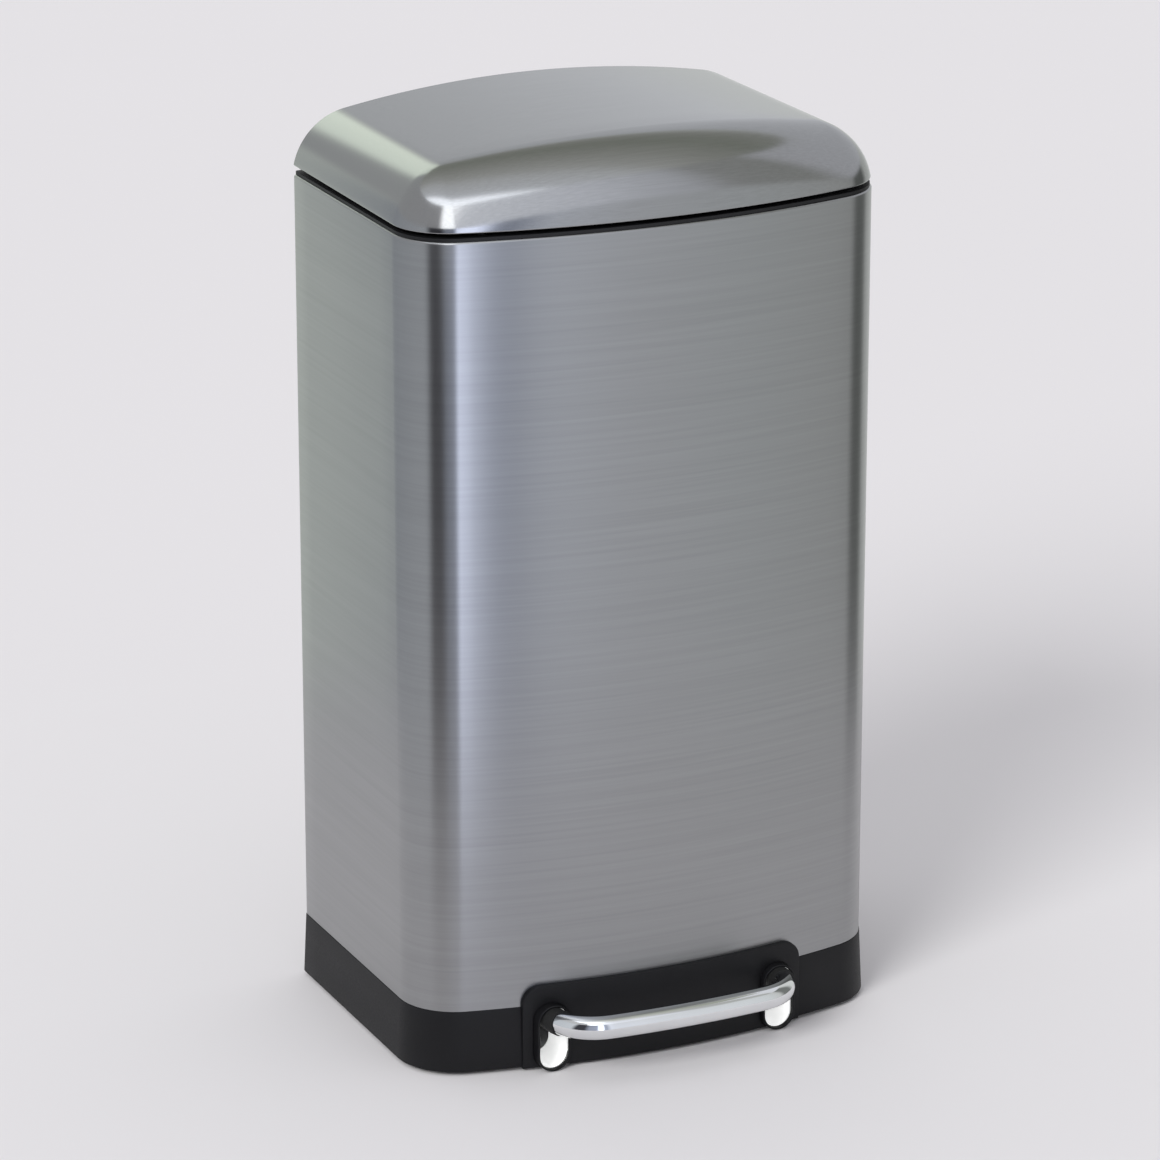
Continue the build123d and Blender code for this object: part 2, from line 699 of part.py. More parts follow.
parts = {
    "body_shell": body_shell(),
    "top_collar": top_collar(),
    "lid_buffers": lid_buffers(),
    "base_plinth": base_plinth(),
    "base_deck": base_deck(),
    "front_plate": front_plate(),
    "front_plate_screws": front_plate_screws(),
    "slot_bezel_left": slot_bezel(-1),
    "slot_bezel_right": slot_bezel(1),
    "slot_liner_left": slot_liner(-1),
    "slot_liner_right": slot_liner(1),
    "pedal_axle": pedal_axle(),
    "axle_bushes": axle_bushes(),
    "axle_clips": axle_clips(),
    "hinge_housing": hinge_housing(),
    "hinge_cover": hinge_cover(),
    "hinge_pin": hinge_pin(),
    "hinge_pin_clips": hinge_pin_clips(),
    "hinge_backing_plate": hinge_backing_plate(),
    "hinge_screws": hinge_screws(),
    "hinge_nuts": hinge_nuts(),
    "rod_cover": rod_cover(),
    "rod_guide_screws": rod_guide_screws(),
    "push_rod": push_rod(),
    "push_rod_head": push_rod_head(),
    "push_rod_foot": push_rod_foot(),
    "pedal_bar": pedal_bar(),
    "pedal_sleeve_left": pedal_sleeve(-1),
    "pedal_sleeve_right": pedal_sleeve(1),
    "pedal_lever": pedal_lever(),
    "pedal_rivets": pedal_rivets(),
    "lever_pin": lever_pin(),
    "lever_pin_clip": lever_pin_clip(),
    "lid_shell": lid_shell(),
    "lid_liner": lid_liner(),
    "lid_bracket": lid_bracket(),
    "lid_screws": lid_screws(),
    "crank_pin": crank_pin(),
    "inner_bucket": inner_bucket(),
}
for number, place in enumerate(foot_places, 1):
    parts[f"rubber_foot_{number}"] = rubber_foot(*place)
for number, height in enumerate(back_screw_heights, 1):
    parts[f"rod_guide_{number}"] = rod_guide(height)

for name, part in parts.items():
    export_step(Pos(0, -origin_y, 0) * part, f"parts/{name}.step")

print("origin_y", round(origin_y, 3))
print("hinge axis y z", round(hinge_y - origin_y, 3), hinge_z)
print("axle y z", round(axle_y - origin_y, 3), axle_z)
print("rod travel", round(rod_travel, 4), "pedal travel", round(pedal_travel, 4))
print("pedal rest", round(pedal_rest, 3), "bucket gap", round(liner_low - bucket_high, 2))
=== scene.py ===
import json
from math import asin, atan2, cos, pi, radians, sin, sqrt, tan

import bmesh
import bpy
from mathutils import Matrix, Vector


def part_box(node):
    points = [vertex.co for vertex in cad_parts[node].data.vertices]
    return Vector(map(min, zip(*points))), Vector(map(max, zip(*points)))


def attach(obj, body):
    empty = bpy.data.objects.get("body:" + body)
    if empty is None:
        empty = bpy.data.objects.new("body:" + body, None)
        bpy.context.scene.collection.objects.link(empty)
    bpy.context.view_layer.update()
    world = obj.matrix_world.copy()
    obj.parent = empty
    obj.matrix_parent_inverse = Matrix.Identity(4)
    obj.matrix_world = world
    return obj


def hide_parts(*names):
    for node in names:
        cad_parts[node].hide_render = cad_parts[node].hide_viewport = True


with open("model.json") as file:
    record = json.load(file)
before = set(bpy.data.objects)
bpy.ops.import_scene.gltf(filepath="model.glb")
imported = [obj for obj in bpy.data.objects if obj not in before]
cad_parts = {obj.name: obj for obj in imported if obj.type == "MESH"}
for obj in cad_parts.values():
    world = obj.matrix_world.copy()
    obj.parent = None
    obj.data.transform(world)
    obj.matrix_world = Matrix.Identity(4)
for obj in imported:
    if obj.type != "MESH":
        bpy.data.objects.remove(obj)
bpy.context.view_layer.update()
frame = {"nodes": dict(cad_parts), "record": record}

nodes = frame["nodes"]
merge = 1e-6

# where things are, read from the CAD boxes
bodyLow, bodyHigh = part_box("body_shell")
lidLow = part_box("lid_shell")[0]
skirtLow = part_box("base_plinth")[0]
plateLow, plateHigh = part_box("front_plate")
barLow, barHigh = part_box("pedal_bar")
axleLow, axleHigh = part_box("pedal_axle")
slotLow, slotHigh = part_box("slot_bezel_right")
slotX = (slotLow.x + slotHigh.x) / 2

# the outline seen from above: flat back, straight sides, bowed front
plan = {
    "half": bodyHigh.x,
    "back": bodyHigh.y,
    "front": bodyLow.y,
    "bowRise": 0.025,
    "corner": 0.040,
    "backCorner": 0.004,
    "cornerSteps": 20,
    "backCornerSteps": 6,
    "tightest": 0.0006,
    "bowSteps": 36,
    "sideSteps": 8,
    "backSteps": 4,
}
bowRadius = (plan["half"] ** 2 + plan["bowRise"] ** 2) / (2 * plan["bowRise"])
bowCentre = plan["front"] + bowRadius


def bowY(x, proud=0.0):
    return bowCentre - sqrt((bowRadius + proud) ** 2 - x * x)


def newPiece(name, bm, body, slot, material, *replaced, smooth=50, outwards=True):
    bmesh.ops.remove_doubles(bm, verts=bm.verts, dist=merge)
    if outwards:
        bmesh.ops.recalc_face_normals(bm, faces=bm.faces)
    mesh = bpy.data.meshes.new(name)
    bm.to_mesh(mesh)
    bm.free()
    piece = bpy.data.objects.new(name, mesh)
    bpy.context.scene.collection.objects.link(piece)
    mesh.materials.append(material)
    mesh.shade_smooth()
    mesh.set_sharp_from_angle(angle=radians(smooth))
    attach(piece, body)
    if replaced:
        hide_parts(*replaced)
    return piece


def stepTo(bm, vert, x, y, steps=1):
    # a straight run of edges from vert to (x, y)
    start = vert.co.copy()
    for i in range(1, steps + 1):
        vert = bmesh.ops.extrude_vert_indiv(bm, verts=[vert])["verts"][0]
        vert.co = start.lerp(Vector((x, y, start.z)), i / steps)
    return vert


def turn(bm, vert, cx, cy, angle, steps):
    made = bmesh.ops.spin(
        bm, geom=[vert], cent=(cx, cy, vert.co.z), axis=(0, 0, 1), dvec=(0, 0, 0),
        angle=angle, steps=steps, use_duplicate=False,
    )
    return [g for g in made["geom_last"] if isinstance(g, bmesh.types.BMVert)][0]


def outline(bm, inset, z, closed=True, backInset=None, backRadius=None):
    # one turn round the plan, moved inwards; open outlines leave the back out
    before = set(bm.edges)
    half = plan["half"] - inset
    back = plan["back"] - (inset if backInset is None else backInset)
    radius = max(plan["corner"] - inset, 0.00002)
    small = backRadius or max(plan["backCorner"] - inset, plan["tightest"])
    cx = half - radius
    cy = bowCentre - sqrt((bowRadius - inset - radius) ** 2 - cx * cx)
    lean = asin(cx / (bowRadius - inset - radius))
    if closed:
        first = bm.verts.new((-(half - small), back, z))
        vert = turn(bm, first, -(half - small), back - small, pi / 2, plan["backCornerSteps"])
    else:
        vert = bm.verts.new((-half, back, z))
    vert = stepTo(bm, vert, -half, cy, plan["sideSteps"])
    vert = turn(bm, vert, -cx, cy, pi / 2 - lean, plan["cornerSteps"])
    vert = turn(bm, vert, 0, bowCentre, 2 * lean, plan["bowSteps"])
    vert = turn(bm, vert, cx, cy, pi / 2 - lean, plan["cornerSteps"])
    vert = stepTo(bm, vert, half, back - (small if closed else 0), plan["sideSteps"])
    if closed:
        vert = turn(bm, vert, half - small, back - small, pi / 2, plan["backCornerSteps"])
        span, steps = half - small, plan["backSteps"]
        vert = stepTo(bm, vert, span - 2 * span * (steps - 1) / steps, back, steps - 1)
        bmesh.ops.contextual_create(bm, geom=[vert, first])
    return [e for e in bm.edges if e not in before]


def bridge(bm, rings):
    for low, high in zip(rings, rings[1:]):
        bmesh.ops.bridge_loops(bm, edges=low + high)


def ringVerts(bm, ring, *args, **options):
    # makes a ring and gives back its edges and its vertices in order
    start = len(bm.verts)
    edges = ring(bm, *args, **options)
    bm.verts.ensure_lookup_table()
    return edges, [bm.verts[i] for i in range(start, len(bm.verts))]


def wallAround(bm, ring, profile, caps=False):
    # extrudes one ring through the profile; the section closes on itself, or ends in two caps
    edges, verts = ringVerts(bm, ring, *profile[0])
    firstEdges = edges
    for point in profile[1:] + ([] if caps else profile[:1]):
        guide = bmesh.new()
        places = [v.co.copy() for v in ringVerts(guide, ring, *point)[1]]
        guide.free()
        made = bmesh.ops.extrude_edge_only(bm, edges=edges)["geom"]
        fresh = {g for g in made if isinstance(g, bmesh.types.BMVert)}
        edges = [g for g in made if isinstance(g, bmesh.types.BMEdge) and fresh.issuperset(g.verts)]
        verts = [next(e.other_vert(v) for e in v.link_edges if e.other_vert(v) in fresh) for v in verts]
        for vert, place in zip(verts, places):
            vert.co = place
    if caps:
        bmesh.ops.contextual_create(bm, geom=firstEdges)
        bmesh.ops.contextual_create(bm, geom=edges)
    bmesh.ops.remove_doubles(bm, verts=bm.verts, dist=merge)
    bmesh.ops.recalc_face_normals(bm, faces=bm.faces)
    if bm.calc_volume(signed=True) < 0:
        bmesh.ops.reverse_faces(bm, faces=bm.faces)


def ringBody(bm, profile, caps=False):
    # walls that follow the plan: profile is a list of (inset, height)
    wallAround(bm, outline, profile, caps)


def arc(cu, cv, radius, start, stop, steps):
    # points of an arc in a profile, in degrees
    span = [radians(start + (stop - start) * i / steps) for i in range(steps + 1)]
    return [(cu + radius * cos(a), cv + radius * sin(a)) for a in span]


def solidBox(bm, x0, x1, y0, y1, z0, z1):
    made = bmesh.ops.create_cube(bm, size=1.0)["verts"]
    bmesh.ops.scale(bm, vec=(x1 - x0, y1 - y0, z1 - z0), verts=made)
    bmesh.ops.translate(bm, vec=((x0 + x1) / 2, (y0 + y1) / 2, (z0 + z1) / 2), verts=made)


def cutAway(piece, cutters):
    # booleans taken from the piece and applied, with the cutters then removed
    for cutter in cutters:
        change = piece.modifiers.new("cut", "BOOLEAN")
        change.operation = "DIFFERENCE"
        change.solver = "EXACT"
        change.object = cutter
    graph = bpy.context.evaluated_depsgraph_get()
    done = bpy.data.meshes.new_from_object(piece.evaluated_get(graph))
    piece.modifiers.clear()
    old = piece.data
    piece.data = done
    bpy.data.meshes.remove(old)
    for cutter in cutters:
        bpy.data.objects.remove(cutter)


def cutterFrom(bm):
    bmesh.ops.remove_doubles(bm, verts=bm.verts, dist=merge)
    bmesh.ops.recalc_face_normals(bm, faces=bm.faces)
    mesh = bpy.data.meshes.new("cutter")
    bm.to_mesh(mesh)
    bm.free()
    cutter = bpy.data.objects.new("cutter", mesh)
    bpy.context.scene.collection.objects.link(cutter)
    return cutter


def newMaterial(name):
    material = bpy.data.materials.new(name)
    material.use_nodes = True
    tree = material.node_tree
    return material, tree.nodes, tree.links, tree.nodes["Principled BSDF"]


def addNode(treeNodes, kind, **values):
    node = treeNodes.new(kind)
    for key, value in values.items():
        if key in node.inputs:
            node.inputs[key].default_value = value
        else:
            setattr(node, key, value)
    return node


# moves the noise off the middle of the bin
noiseShift = (0.37, 0.21, 0.13)


def streaks(treeNodes, links, scale, detail=3.0):
    # noise on object coordinates, drawn out by a different scale along each axis
    place = addNode(treeNodes, "ShaderNodeTexCoord")
    stretch = addNode(treeNodes, "ShaderNodeMapping")
    stretch.inputs["Scale"].default_value = scale
    stretch.inputs["Location"].default_value = noiseShift
    noise = addNode(treeNodes, "ShaderNodeTexNoise", Scale=1.0, Detail=detail, Roughness=0.6)
    links.new(place.outputs["Object"], stretch.inputs["Vector"])
    links.new(stretch.outputs["Vector"], noise.inputs["Vector"])
    return noise


def between(treeNodes, links, source, low, high):
    spread = addNode(treeNodes, "ShaderNodeMapRange")
    spread.inputs["From Min"].default_value = 0.25
    spread.inputs["From Max"].default_value = 0.75
    spread.inputs["To Min"].default_value = low
    spread.inputs["To Max"].default_value = high
    links.new(source, spread.inputs["Value"])
    return spread.outputs["Result"]


def tint(treeNodes, links, source, dark, light):
    ramp = addNode(treeNodes, "ShaderNodeValToRGB")
    ramp.color_ramp.elements[0].color = (*dark, 1)
    ramp.color_ramp.elements[0].position = 0.3
    ramp.color_ramp.elements[1].color = (*light, 1)
    ramp.color_ramp.elements[1].position = 0.7
    links.new(source, ramp.inputs["Fac"])
    return ramp.outputs["Color"]


def bumpFrom(treeNodes, links, source, strength, distance):
    bump = addNode(treeNodes, "ShaderNodeBump", Strength=strength, Distance=distance)
    links.new(source, bump.inputs["Height"])
    return bump.outputs["Normal"]


steelLook = {
    "dark": (0.322, 0.325, 0.329),
    "light": (0.355, 0.358, 0.363),
    "roughness": (0.276, 0.296),
    "anisotropy": 0.7,
    "grain": (5.0, 5.0, 420.0),
    "cloud": (6.0, 6.0, 2.5),
}
lidLook = {"grain": (3.0, 1100.0, 1100.0), "roughness": (0.14, 0.165), "anisotropy": 0.45}


def makeSteel(name, look):
    material, n, links, shader = newMaterial(name)
    fine = streaks(n, links, look["grain"], 4.0)
    cloud = streaks(n, links, look["cloud"], 2.0)
    links.new(tint(n, links, fine.outputs["Fac"], look["dark"], look["light"]), shader.inputs["Base Color"])
    links.new(between(n, links, cloud.outputs["Fac"], *look["roughness"]), shader.inputs["Roughness"])
    shader.inputs["Metallic"].default_value = 1.0
    shader.inputs["Anisotropic"].default_value = look["anisotropy"]
    tangent = addNode(n, "ShaderNodeTangent", direction_type="UV_MAP", uv_map="grain")
    links.new(tangent.outputs["Tangent"], shader.inputs["Tangent"])
    return material


def makePlastic(name, dark, light, roughness, pebble=900.0, depth=0.00004, strength=0.35):
    material, n, links, shader = newMaterial(name)
    grain = streaks(n, links, (pebble, pebble, pebble), 2.0)
    patch = streaks(n, links, (9.0, 9.0, 9.0), 3.0)
    links.new(tint(n, links, patch.outputs["Fac"], dark, light), shader.inputs["Base Color"])
    links.new(between(n, links, grain.outputs["Fac"], *roughness), shader.inputs["Roughness"])
    links.new(bumpFrom(n, links, grain.outputs["Fac"], strength, depth), shader.inputs["Normal"])
    shader.inputs["Specular IOR Level"].default_value = 0.25
    return material


def makePolished(name, cell, dark, light, roughness, bump=None):
    material, n, links, shader = newMaterial(name)
    haze = streaks(n, links, (cell, cell, cell), 3.0)
    links.new(tint(n, links, haze.outputs["Fac"], dark, light), shader.inputs["Base Color"])
    links.new(between(n, links, haze.outputs["Fac"], *roughness), shader.inputs["Roughness"])
    if bump:
        links.new(bumpFrom(n, links, haze.outputs["Fac"], *bump), shader.inputs["Normal"])
    shader.inputs["Metallic"].default_value = 1.0
    return material


steel = makeSteel("brushedSteel", steelLook)
lidSteel = makeSteel("brushedLidSteel", {**steelLook, **lidLook})
blackPlastic = makePlastic("blackPlastic", (0.0050, 0.0050, 0.0060), (0.0072, 0.0072, 0.0084), (0.44, 0.56))
# the collar ring is dark grey plastic, its colour taken almost to black as painted shade for the seam under
# the lid's edge
collarGreySeamShade = makePlastic("collarGreySeamShade", (0.009, 0.009, 0.010), (0.013, 0.013, 0.0145), (0.46, 0.56))
bucketPlastic = makePlastic("bucketPlastic", (0.085, 0.085, 0.09), (0.11, 0.11, 0.115), (0.38, 0.50), 500.0)
whitePlastic = makePlastic(
    "whitePlastic", (0.84, 0.84, 0.82), (0.90, 0.90, 0.88), (0.35, 0.45), 500.0, 0.00002,
)
rubber = makePlastic("blackRubber", (0.014, 0.014, 0.014), (0.020, 0.020, 0.020), (0.62, 0.78), 700.0)
chrome = makePolished("chrome", 14.0, (0.74, 0.75, 0.76), (0.82, 0.83, 0.84), (0.045, 0.085))
plated = makePolished(
    "zincPlate", 160.0, (0.42, 0.43, 0.45), (0.56, 0.57, 0.58), (0.28, 0.42), bump=(0.2, 0.00003),
)
slotLooks = {
    "brushed_steel": steel,
    "black_plastic": blackPlastic,
    "dark_grey_plastic": collarGreySeamShade,
    "grey_plastic": bucketPlastic,
    "white_plastic": whitePlastic,
    "black_rubber": rubber,
    "chrome": chrome,
    "plated_steel": plated,
}
for entry in frame["record"]["subparts"]:
    mesh = nodes[entry["node"]].data
    mesh.materials.clear()
    mesh.materials.append(slotLooks[entry["material_slot"]])
# the slot liners get a painted glow: white emission makes them read as bright as if light came through them
linerWhitePaintedGlow = makePlastic("linerWhitePaintedGlow", (0.88, 0.88, 0.87), (0.92, 0.92, 0.91), (0.35, 0.45), 500.0, 0.00002)
linerShader = linerWhitePaintedGlow.node_tree.nodes["Principled BSDF"]
linerShader.inputs["Emission Color"].default_value = (0.95, 0.96, 0.96, 1)
linerShader.inputs["Emission Strength"].default_value = 0.38
for name in ("slot_liner_left", "slot_liner_right"):
    nodes[name].data.materials.clear()
    nodes[name].data.materials.append(linerWhitePaintedGlow)
print("materials made")


def grainUv(piece):
    # a map whose first direction runs across the grain, which goes round the bin
    mesh = piece.data
    layer = mesh.uv_layers.get("grain") or mesh.uv_layers.new(name="grain")
    for loop in mesh.loops:
        co = mesh.vertices[loop.vertex_index].co
        layer.data[loop.index].uv = (co.z, atan2(co.x, -co.y) / pi)


def flatUv(piece):
    # the lid's grain runs straight across, left to right
    mesh = piece.data
    layer = mesh.uv_layers.new(name="grain")
    for loop in mesh.loops:
        co = mesh.vertices[loop.vertex_index].co
        layer.data[loop.index].uv = (co.y - co.z, co.x)


shell = {
    "sheet": 0.0007,
    "bead": 0.0016,
    "beadSteps": 6,
    "hem": 0.004,
    "rows": 10,
    # each slot's rim passes below a small notch in the wall's lower edge
    "notch": 0.0135,
    "notchHigh": 0.049,
    "notchUnder": 0.0002,
    # the hem stops short behind the hinge, where the crank and push rod work
    "crankGap": 0.034,
    "crankReach": 0.016,
    "crankCut": (0.002, 0.001),
    "sharp": 40,
}


def makeBody():
    bm = bmesh.new()
    low, high = bodyLow.z, bodyHigh.z
    bead, sheet, hem = shell["bead"], shell["sheet"], shell["hem"]
    wall = [(0, low), (0, shell["notchHigh"])]
    wall += [(0, low + (high - low) * i / shell["rows"]) for i in range(1, shell["rows"])]
    top = arc(bead, high - bead, bead, 180, 90, shell["beadSteps"])
    inner = [(hem, high), (hem, high - sheet), (sheet, high - sheet)]
    inner += [(sheet, shell["notchHigh"]), (sheet, low)]
    ringBody(bm, wall + top + inner)
    for vert in bm.verts:
        behindPlate = vert.co.y < 0 and abs(abs(vert.co.x) - slotX) < shell["notch"]
        if behindPlate and vert.co.z < low + 0.001:
            vert.co.z = shell["notchHigh"] - shell["notchUnder"]
    piece = newPiece(
        "bodyShellSteel", bm, "bin", "brushed_steel", steel, "body_shell",
        smooth=shell["sharp"], outwards=False,
    )
    cut = bmesh.new()
    back, gap = plan["back"], shell["crankGap"]
    under, over = shell["crankCut"]
    solidBox(cut, -gap, gap, back - shell["crankReach"], back - sheet, high - under, high + over)
    cutAway(piece, [cutterFrom(cut)])
    piece.data.set_sharp_from_angle(angle=radians(shell["sharp"]))
    return piece


body = makeBody()
grainUv(body)
print("body shell made")


lid = {
    "crownRadius": 0.733,
    "crownHigh": 0.6195,
    "tilt": radians(0.8),
    "tiltAbout": -0.05566,
    "shoulder": 0.045,
    "shoulderSteps": 18,
    "sheet": 0.0007,
    "hem": 0.004,
    "bead": 0.0012,
    "beadSteps": 4,
    "notch": 0.034,
    "notchHigh": 0.578,
}
# how near the lid's back plane, or its lower edge, a vertex has to be to count as on it
onPlane = 1e-5
crownBase = lid["crownHigh"] - lid["crownRadius"]


def crownHeight(x, y, drop=0.0):
    rise = sqrt((lid["crownRadius"] - drop) ** 2 - x * x)
    return crownBase + rise - (y - lid["tiltAbout"]) * sin(lid["tilt"])


def shoulderPoint(centre, wall, share):
    # a ball rolled round the rim, from the side wall at share 0 to the crown at share 1
    ballZ = crownHeight(centre.x, centre.y, lid["shoulder"])
    out = Vector((wall.x - centre.x, wall.y - centre.y, 0))
    reach = out.length
    out.normalize()
    inner = lid["crownRadius"] - lid["shoulder"]
    up = Vector((centre.x / inner, 0, sqrt(1 - (centre.x / inner) ** 2)))
    full = out.angle(up)
    low = lidLow.z + lid["bead"] - ballZ
    first = asin(low / reach) if low > 0 else 0.0
    swing = first + (full - first) * share
    way = (out * sin(full - swing) + up * sin(swing)) / sin(full)
    size = lid["shoulder"] + (reach - lid["shoulder"]) * cos(pi / 2 * swing / full) ** 2
    return Vector((centre.x, centre.y, ballZ)) + way * size


def backEdges(bm):
    # the open edges that lie in the plane of the flat back
    loose = [e for e in bm.edges if e.is_boundary or e.is_wire]
    return [e for e in loose if min(v.co.y for v in e.verts) > plan["back"] - onPlane]


def makeLid():
    bm = bmesh.new()
    low, bead = lidLow.z, lid["bead"]
    guide = bmesh.new()
    walls = ringVerts(guide, outline, 0, 0, closed=False, backInset=0)[1]
    centres = ringVerts(guide, outline, lid["shoulder"], 0, closed=False, backInset=0)[1]
    starts = [shoulderPoint(c.co, w.co, 0) for c, w in zip(centres, walls)]
    rings = []
    for inset, z in [(lid["hem"], low)] + arc(bead, low + bead, bead, 270, 190, lid["beadSteps"]):
        edges, verts = ringVerts(bm, outline, 0, z, closed=False, backInset=0)
        for vert, start, centre in zip(verts, starts, centres):
            inwards = Vector((centre.co.x - start.x, centre.co.y - start.y, 0)).normalized()
            if abs(inwards.x) > 0.999:
                inwards = Vector((inwards.x / abs(inwards.x), 0, 0))
            vert.co = Vector((start.x, start.y, z)) + inwards * inset
            vert.co.y = min(vert.co.y, plan["back"])
        rings.append(edges)
    for i in range(lid["shoulderSteps"] + 1):
        edges, verts = ringVerts(bm, outline, 0, 0, closed=False, backInset=0)
        for vert, centre, wall in zip(verts, centres, walls):
            vert.co = shoulderPoint(centre.co, wall.co, i / lid["shoulderSteps"])
        rings.append(edges)
    bridge(bm, rings)
    # the crown between the shoulders
    across, along = plan["bowSteps"], plan["sideSteps"]
    rim = verts
    front = rim[along + plan["cornerSteps"] : along + plan["cornerSteps"] + across + 1]
    xs = [v.co.x for v in front]
    ys = [v.co.y for v in front]
    made = bmesh.ops.create_grid(bm, x_segments=across, y_segments=along, size=1.0)["verts"]
    for vert in made:
        column = round((vert.co.x + 1) / 2 * across)
        share = (vert.co.y + 1) / 2
        y = plan["back"] * share + ys[column] * (1 - share)
        vert.co = (xs[column], y, crownHeight(xs[column], y))
    guide.free()
    bmesh.ops.remove_doubles(bm, verts=bm.verts, dist=5e-5)
    # the flat back, with a notch for the hinge bracket
    bottom = sorted(
        {v for e in backEdges(bm) for v in e.verts if v.co.z < low + onPlane}, key=lambda v: abs(v.co.x)
    )
    vert = next(v for v in bottom if v.co.x < 0)
    right = next(v for v in bottom if v.co.x > 0)
    half, top = lid["notch"], lid["notchHigh"]
    for x, z in ((-half, low), (-half, top), (half, top), (half, low)):
        vert = bmesh.ops.extrude_vert_indiv(bm, verts=[vert])["verts"][0]
        vert.co = (x, plan["back"], z)
    bmesh.ops.contextual_create(bm, geom=[vert, right])
    bmesh.ops.triangle_fill(bm, edges=backEdges(bm), use_beauty=True, normal=(0, 1, 0))
    bmesh.ops.remove_doubles(bm, verts=bm.verts, dist=onPlane)
    bmesh.ops.recalc_face_normals(bm, faces=bm.faces)
    bmesh.ops.solidify(bm, geom=bm.faces[:], thickness=lid["sheet"])
    return newPiece(
        "lidShellSteel", bm, "lid", "brushed_steel", lidSteel, "lid_shell", smooth=35, outwards=False,
    )


lidPiece = makeLid()
flatUv(lidPiece)
print("lid made")

plate = {
    "corner": 0.013,
    "cornerSteps": 14,
    "thick": 0.00385,
    "round": 0.0013,
    "slices": 52,
    "gap": 0.0001,
    "off": 0.00015,
}
bezel = {
    "outer": 0.01175,
    "opening": 0.01025,
    "liner": 0.0113,
    "seat": 0.0060,
    "low": 0.0004,
    "high": 0.047,
    "steps": 24,
    "curlSteps": 8,
}


def halfTurn(bm, vert, centre):
    made = bmesh.ops.spin(
        bm, geom=[vert], cent=centre, axis=(0, 1, 0), dvec=(0, 0, 0), angle=pi, steps=bezel["steps"],
    )
    return [g for g in made["geom_last"] if isinstance(g, bmesh.types.BMVert)][0]


def stadium(bm, x, radius, y):
    # one loop round a pedal slot, standing in the XZ plane
    before = set(bm.edges)
    high = bezel["high"] - bezel["outer"]
    low = bezel["low"] + bezel["outer"]
    first = bm.verts.new((x - radius, y, high))
    vert = halfTurn(bm, first, (x, y, high))
    vert = bmesh.ops.extrude_vert_indiv(bm, verts=[vert])["verts"][0]
    vert.co = (x + radius, y, low)
    vert = halfTurn(bm, vert, (x, y, low))
    bmesh.ops.contextual_create(bm, geom=[vert, first])
    return [e for e in bm.edges if e not in before]


def slotCutters(back, front):
    # one plug through each pedal slot, a little wider than its rim
    cutters = []
    for side in (-1, 1):
        cut = bmesh.new()
        rings = [stadium(cut, side * slotX, bezel["outer"] + plate["gap"], y) for y in (back, front)]
        bridge(cut, rings)
        for ring in rings:
            bmesh.ops.contextual_create(cut, geom=ring)
        cutters.append(cutterFrom(cut))
    return cutters


def makePlate():
    bm = bmesh.new()
    low, high, half, corner = plateLow.z, plateHigh.z, plateHigh.x, plate["corner"]
    first = bm.verts.new((-half, low, 0))
    vert = stepTo(bm, first, -half, high - corner)
    vert = turn(bm, vert, -half + corner, high - corner, -pi / 2, plate["cornerSteps"])
    vert = stepTo(bm, vert, half - corner, high)
    vert = turn(bm, vert, half - corner, high - corner, -pi / 2, plate["cornerSteps"])
    vert = stepTo(bm, vert, half, low)
    bmesh.ops.contextual_create(bm, geom=[vert, first])
    face = bmesh.ops.contextual_create(bm, geom=bm.edges[:])["faces"][0]
    made = bmesh.ops.extrude_face_region(bm, geom=[face])["geom"]
    raised = [g for g in made if isinstance(g, bmesh.types.BMVert)]
    bmesh.ops.translate(bm, vec=(0, 0, plate["thick"]), verts=raised)
    bmesh.ops.rotate(bm, verts=bm.verts, cent=(0, 0, 0), matrix=Matrix.Rotation(pi / 2, 3, "X"))
    flat = cutterFrom(bm)
    cutAway(flat, slotCutters(-0.02, 0.02))
    bm = bmesh.new()
    bm.from_mesh(flat.data)
    bpy.data.objects.remove(flat)
    bmesh.ops.remove_doubles(bm, verts=bm.verts, dist=merge)
    bmesh.ops.dissolve_limit(bm, angle_limit=radians(0.5), verts=bm.verts, edges=bm.edges)
    front = [
        e for e in bm.edges
        if len(e.link_faces) == 2 and e.calc_face_angle(0) > radians(60)
        and max(v.co.y for v in e.verts) < -plate["thick"] + merge
    ]
    bmesh.ops.bevel(
        bm, geom=front, offset=plate["round"], offset_type="OFFSET", segments=4, profile=0.5,
        affect="EDGES", material=-1, clamp_overlap=True,
    )
    for i in range(1, plate["slices"]):
        x = plateLow.x + (plateHigh.x - plateLow.x) * i / plate["slices"]
        everything = bm.faces[:] + bm.edges[:] + bm.verts[:]
        bmesh.ops.bisect_plane(bm, geom=everything, dist=1e-7, plane_co=(x, 0, 0), plane_no=(1, 0, 0))
    for vert in bm.verts:
        vert.co.y = bowY(vert.co.x, -vert.co.y + plate["off"])
    return newPiece("frontPlateMoulded", bm, "bin", "black_plastic", blackPlastic, "front_plate", smooth=35)


makePlate()


def makeBezel(side, name):
    bm = bmesh.new()
    outer, opening, liner = bezel["outer"], bezel["opening"], bezel["liner"]
    front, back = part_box(name)[0].y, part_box(name)[1].y
    mid = (outer + opening) / 2
    curl = (outer - opening) / 2
    seat = bowY(slotX, bezel["seat"])
    swing = [pi * i / bezel["curlSteps"] for i in range(1, bezel["curlSteps"])]
    profile = [(outer, back), (outer, front + curl)]
    profile += [(mid + curl * cos(a), front + curl - curl * sin(a)) for a in swing]
    profile += [(opening, front + curl), (opening, seat), (liner, seat), (liner, back)]
    wallAround(bm, stadium, [(side * slotX, radius, y) for radius, y in profile])
    return newPiece(
        name + "_lip", bm, "bin", "black_plastic", blackPlastic, name, smooth=35, outwards=False,
    )


makeBezel(-1, "slot_bezel_left")
makeBezel(1, "slot_bezel_right")
print("front plate and slots made")

